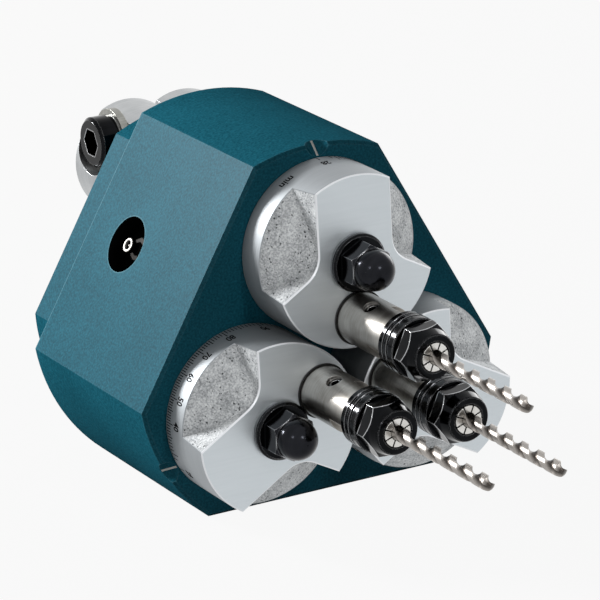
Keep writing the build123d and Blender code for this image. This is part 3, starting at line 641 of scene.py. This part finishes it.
def drillSteel(name, look, centre):
    material, tree = newMaterial(name)
    place = addNode(tree, "ShaderNodeTexCoord")
    shift = addNode(tree, "ShaderNodeMapping", None,
                    {"Vector": place.outputs["Object"], "Location": (-centre.x, 0, -centre.z)})
    flat = addNode(tree, "ShaderNodeVectorMath", {"operation": "MULTIPLY"},
                   {0: shift.outputs[0], 1: (1, 0, 1)})
    radius = addNode(tree, "ShaderNodeVectorMath", {"operation": "LENGTH"}, {0: flat.outputs[0]})
    lines = addNode(tree, "ShaderNodeTexNoise", None,
                    {"Vector": place.outputs["Object"], "Scale": 1 / (look["lineMm"] * mm), "Detail": 3.0})
    # painted shade: darker towards the axis, deep in the flutes
    out = addNode(tree, "ShaderNodeMapRange", None,
                  {"Value": radius.outputs["Value"], 1: look["webMm"] * mm, 2: look["landMm"] * mm})
    uneven = addNode(tree, "ShaderNodeMath", {"operation": "MULTIPLY_ADD"},
                     {0: lines.outputs["Fac"], 1: look["lineShare"], 2: out.outputs[0]})
    share = addNode(tree, "ShaderNodeMapRange", None,
                    {"Value": uneven.outputs[0], 1: look["toneLow"], 2: look["toneHigh"]})
    colour = addNode(tree, "ShaderNodeMix", {"data_type": "RGBA"},
                     {0: share.outputs[0], 6: toLinear(look["web"]), 7: toLinear(look["land"])})
    rough = addNode(tree, "ShaderNodeMapRange", None,
                    {"Value": lines.outputs["Fac"], 3: look["roughness"] - look["roughBelow"],
                     4: look["roughness"] + look["roughAbove"]})
    shader = addNode(tree, "ShaderNodeBsdfPrincipled", None,
                     {"Base Color": colour.outputs[2], "Metallic": 1.0, "Roughness": rough.outputs[0]})
    addNode(tree, "ShaderNodeOutputMaterial", None, {"Surface": shader.outputs[0]})
    return material


for k in stations:
    steel = drillSteel(f"groundDrillSteel{k}", drillLook, joints[f"cage_roll_{k}"])
    dress(f"twist_drill_{k}", steel)
    drill = newPiece(f"twistDrill{k}", drillSurface(k, twistDrill), steel, f"spindle_{k}",
                     sharpDeg=32)
    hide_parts(f"twist_drill_{k}")

# Collet nuts: two grooves round the collar, a neck, a short hexagon chamfered in front and a coned nose
colletNut = {"hexMm": 15.8, "hexLowMm": 8.85, "hexTurnDeg": 6.0, "around": 360, "coneRows": 28,
             "glintMm": 0.11, "rearMm": (8.85, 9.2), "cornerCosine": 0.88,
             "collarMm": ((6.9, 0.0), (8.8, 0.0), (9.2, 0.4), (9.2, 2.2), (8.7, 2.5), (8.7, 2.9), (9.2, 3.2),
                          (9.2, 4.4), (8.7, 4.7), (8.7, 5.1), (9.2, 5.4), (9.2, 7.6), (8.9, 7.9), (7.6, 8.0),
                          (7.6, 8.8), (9.2, 8.9), (9.2, 9.15), (9.2, 9.3)),
             "coneMm": ((9.2, 12.1), (7.75, 13.6)),
             "noseMm": ((6.9, 16.6), (6.6, 16.95), (6.3, 17.0), (4.9, 17.0), (4.5, 16.6), (4.5, 14.0),
                        (6.9, 11.6))}


# nut: the profile (radius, height) turned round the axis, and in front of the neck held to the hexagon,
# which is half its width over the cosine of the angle from the middle of a flat
def nutSurface(k, look):
    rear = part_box(f"collet_nut_{k}")[1].y
    centre = joints[f"cage_roll_{k}"]
    cone = np.linspace(*look["coneMm"], look["coneRows"])
    r, h = np.vstack([look["collarMm"], cone, look["noseMm"]]).T
    turn = np.linspace(0, 2 * math.pi, look["around"], endpoint=False)[:, None]
    fromFlat = np.mod(turn - math.radians(look["hexTurnDeg"]), math.pi / 3) - math.pi / 6
    flat = look["hexMm"] / 2 / np.cos(fromFlat)
    radius = np.where(h > look["hexLowMm"], np.minimum(r, flat), r)
    points = np.stack([centre.x + mm * radius * np.cos(turn), rear - mm * h + 0 * turn,
                       centre.z + mm * radius * np.sin(turn)], -1)
    mesh = gridMesh(f"colletNut{k}", points, closeRows=True, closeColumns=True)
    # painted highlight lines where the flats meet the cone in front and the neck behind, there short of the
    # corners
    coned = (h >= look["coneMm"][0][1]) & (h <= look["coneMm"][1][1])
    inFront = coned & (np.abs(r - flat) < look["glintMm"])
    nearNeck = (h > look["rearMm"][0]) & (h < look["rearMm"][1])
    behind = nearNeck & (flat < look["hexMm"] / 2 / look["cornerCosine"])
    markRubbed(mesh, inFront | behind)
    return mesh


for k in stations:
    nut = newPiece(f"colletNut{k}", nutSurface(k, colletNut), finishes["blackOxideSteel"], f"spindle_{k}",
                   sharpDeg=15)
    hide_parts(f"collet_nut_{k}")
print("drills and collet nuts cut")

# Grease nipple: hexagon, neck and a head whose ring face, just under the flat, holds the ball in a recess;
# the face and ball are painted bright as highlight and the rest near black as painted shade
greaseNipple = {"hexMm": 7.0, "hexTopMm": 2.55, "alongMm": -2.0, "seatMm": 7.0, "around": 96,
                "faceMm": (1.15, 6.35),
                "profileMm": ((0.05, -2.4), (3.0, -2.4), (3.0, 0.0), (4.1, 0.02), (4.1, 2.2), (3.6, 2.5),
                              (2.2, 2.6), (1.7, 3.4), (1.7, 4.2), (2.3, 4.9), (2.3, 6.3), (2.2, 6.45),
                              (2.1, 6.5), (1.6, 6.5), (1.45, 6.4), (1.3, 5.4), (0.75, 5.4), (0.65, 5.7),
                              (0.4, 5.9), (0.05, 5.95))}


# nipple: the profile (radius, height) turned round the flat's normal, its lowest rows held to the hexagon
def nippleSurface(look):
    r, h = np.array(look["profileMm"]).T[:, :, None]
    turn = np.linspace(0, 2 * math.pi, look["around"], endpoint=False)
    flat = look["hexMm"] / 2 / np.cos(np.mod(turn, math.pi / 3) - math.pi / 6)
    radius = np.where((h > 0) & (h < look["hexTopMm"]), np.minimum(r, flat), r) + 0 * turn
    out = np.array(leftFlat)
    along = np.array((-leftFlat.z, 0, leftFlat.x))
    back = np.array((0, 1, 0))
    seatLevel = -cadLow.z - look["seatMm"] * mm  # the flats are all as far from the axis as the lowest
    seat = out * seatLevel + along * look["alongMm"] * mm + back * nippleMiddle.y
    sideways = along * (radius * np.cos(turn))[..., None] + back * (radius * np.sin(turn))[..., None]
    points = seat + mm * (sideways + out * h[..., None])
    mesh = gridMesh("greaseNipple", points, closeColumns=True, capEnds=True)
    # painted highlight on the face and ball; the rest keeps the near-black painted shade
    onFace = (r > look["faceMm"][0]) & (h > look["faceMm"][1])
    onBall = h == h[-1]
    markRubbed(mesh, (onFace | onBall) + 0 * turn)
    return mesh


nipple = newPiece("greaseNipple", nippleSurface(greaseNipple), finishes["phosphatedNippleSteel"], "housing",
                  sharpDeg=25)
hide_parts("grease_nipple")
print("grease nipple turned")

# Camera at the photograph's angle: a long lens about 1.2 m away
view = {"azimuthDeg": -30.16, "elevationDeg": 18.99, "rollDeg": -1.22, "distanceMm": 1208.3,
        "sideMm": -6.47, "riseMm": 12.68, "focalPx": 4006.0, "imagePx": 600, "sensorMm": 36.0,
        "clipM": (0.05, 60.0)}


def placeCamera(look):
    az, el, roll = (math.radians(look[n]) for n in ("azimuthDeg", "elevationDeg", "rollDeg"))
    back = Vector((math.sin(az) * math.cos(el), -math.cos(az) * math.cos(el), math.sin(el)))
    side = Vector((math.cos(az), math.sin(az), 0))
    rise = back.cross(side)
    right = side * math.cos(roll) + rise * math.sin(roll)
    up = rise * math.cos(roll) - side * math.sin(roll)
    data = bpy.data.cameras.new("camera")
    data.sensor_width = look["sensorMm"]
    data.lens = look["focalPx"] * look["sensorMm"] / look["imagePx"]
    data.clip_start, data.clip_end = look["clipM"]
    camera = bpy.data.objects.new("camera", data)
    offset = right * look["sideMm"] + up * look["riseMm"] + back * look["distanceMm"]
    spot = Vector((0, frontLevel, 0)) + mm * offset
    turned = Matrix((right, up, back)).transposed().to_4x4()
    camera.matrix_world = Matrix.Translation(spot) @ turned
    bpy.context.scene.collection.objects.link(camera)
    bpy.context.scene.camera = camera


placeCamera(view)

# Stage: a flat grey floor just under the rest flat, which camera and mirror rays see as white paper
stage = {"floor": "#8e8e8d", "sizeM": 14.0, "points": 9, "gapMm": 0.2, "paper": 0.93, "ambient": 0.045}


# share of white for the rays that look straight at the stage, off metal or through glass
def whiteFor(tree, share):
    path = addNode(tree, "ShaderNodeLightPath")
    seen = addNode(tree, "ShaderNodeMath", {"operation": "MAXIMUM"},
                   {0: path.outputs["Is Camera Ray"], 1: path.outputs["Is Glossy Ray"]})
    clear = addNode(tree, "ShaderNodeMath", {"operation": "MAXIMUM"},
                    {0: seen.outputs[0], 1: path.outputs["Is Transmission Ray"]})
    white = addNode(tree, "ShaderNodeMath", {"operation": "MULTIPLY"}, {0: clear.outputs[0], 1: share})
    return white.outputs[0]


def makeStage(look):
    material, tree = newMaterial("paleStudioPaper")
    matt = addNode(tree, "ShaderNodeBsdfDiffuse", None, {"Color": toLinear(look["floor"])})
    paper = addNode(tree, "ShaderNodeEmission", None, {"Color": (1, 1, 1, 1), "Strength": 1.0})
    mixed = addNode(tree, "ShaderNodeMixShader", None,
                    {0: whiteFor(tree, look["paper"]), 1: matt.outputs[0], 2: paper.outputs[0]})
    addNode(tree, "ShaderNodeOutputMaterial", None, {"Surface": mixed.outputs[0]})
    edge = np.linspace(-look["sizeM"] / 2, look["sizeM"] / 2, look["points"])
    x, y = np.meshgrid(edge, edge)
    mesh = gridMesh("floor", np.stack([x, y, np.full_like(x, cadLow.z - look["gapMm"] * mm)], -1))
    mesh.materials.append(material)
    floor = bpy.data.objects.new("floor", mesh)
    bpy.context.scene.collection.objects.link(floor)
    world = bpy.data.worlds.new("studio")
    bpy.context.scene.world = world
    world.use_nodes = True
    sky = world.node_tree
    sky.nodes.clear()
    dim = addNode(sky, "ShaderNodeBackground", None, {"Color": (1, 1, 1, 1), "Strength": look["ambient"]})
    full = addNode(sky, "ShaderNodeBackground", None, {"Color": (1, 1, 1, 1), "Strength": 1.0})
    both = addNode(sky, "ShaderNodeMixShader", None,
                   {0: whiteFor(sky, 1.0), 1: dim.outputs[0], 2: full.outputs[0]})
    addNode(sky, "ShaderNodeOutputWorld", None, {"Surface": both.outputs[0]})


makeStage(stage)

# Lamps, in metres and watts: a key from behind the upper left, a small soft box at the left front, two fills
lamps = {
    "keyLeft": {"spot": (-0.912, 1.1, 0.616), "size": (0.32, 0.24), "watts": 37.0},
    "boxLeft": {"spot": (-1.14, -0.79, 0.84), "size": (0.22, 0.22), "watts": 1.6},
    "fillRight": {"spot": (1.36, 0.66, 0.32), "size": (0.9, 0.9), "watts": 6.0},
    "fillFront": {"spot": (0.09, -1.57, 0.82), "size": (0.26, 0.26), "watts": 3.0},
}
aim = Vector((0, -0.06, 0))
for name, look in lamps.items():
    data = bpy.data.lights.new(name, "AREA")
    data.shape = "RECTANGLE"
    data.size, data.size_y = look["size"]
    data.energy = look["watts"]
    lamp = bpy.data.objects.new(name, data)
    lamp.location = look["spot"]
    lamp.rotation_euler = (aim - Vector(look["spot"])).to_track_quat("-Z", "Y").to_euler()
    lamp.visible_camera = False
    bpy.context.scene.collection.objects.link(lamp)
bpy.context.scene.view_settings.view_transform = "Standard"
print("camera, stage and", len(lamps), "lamps set")
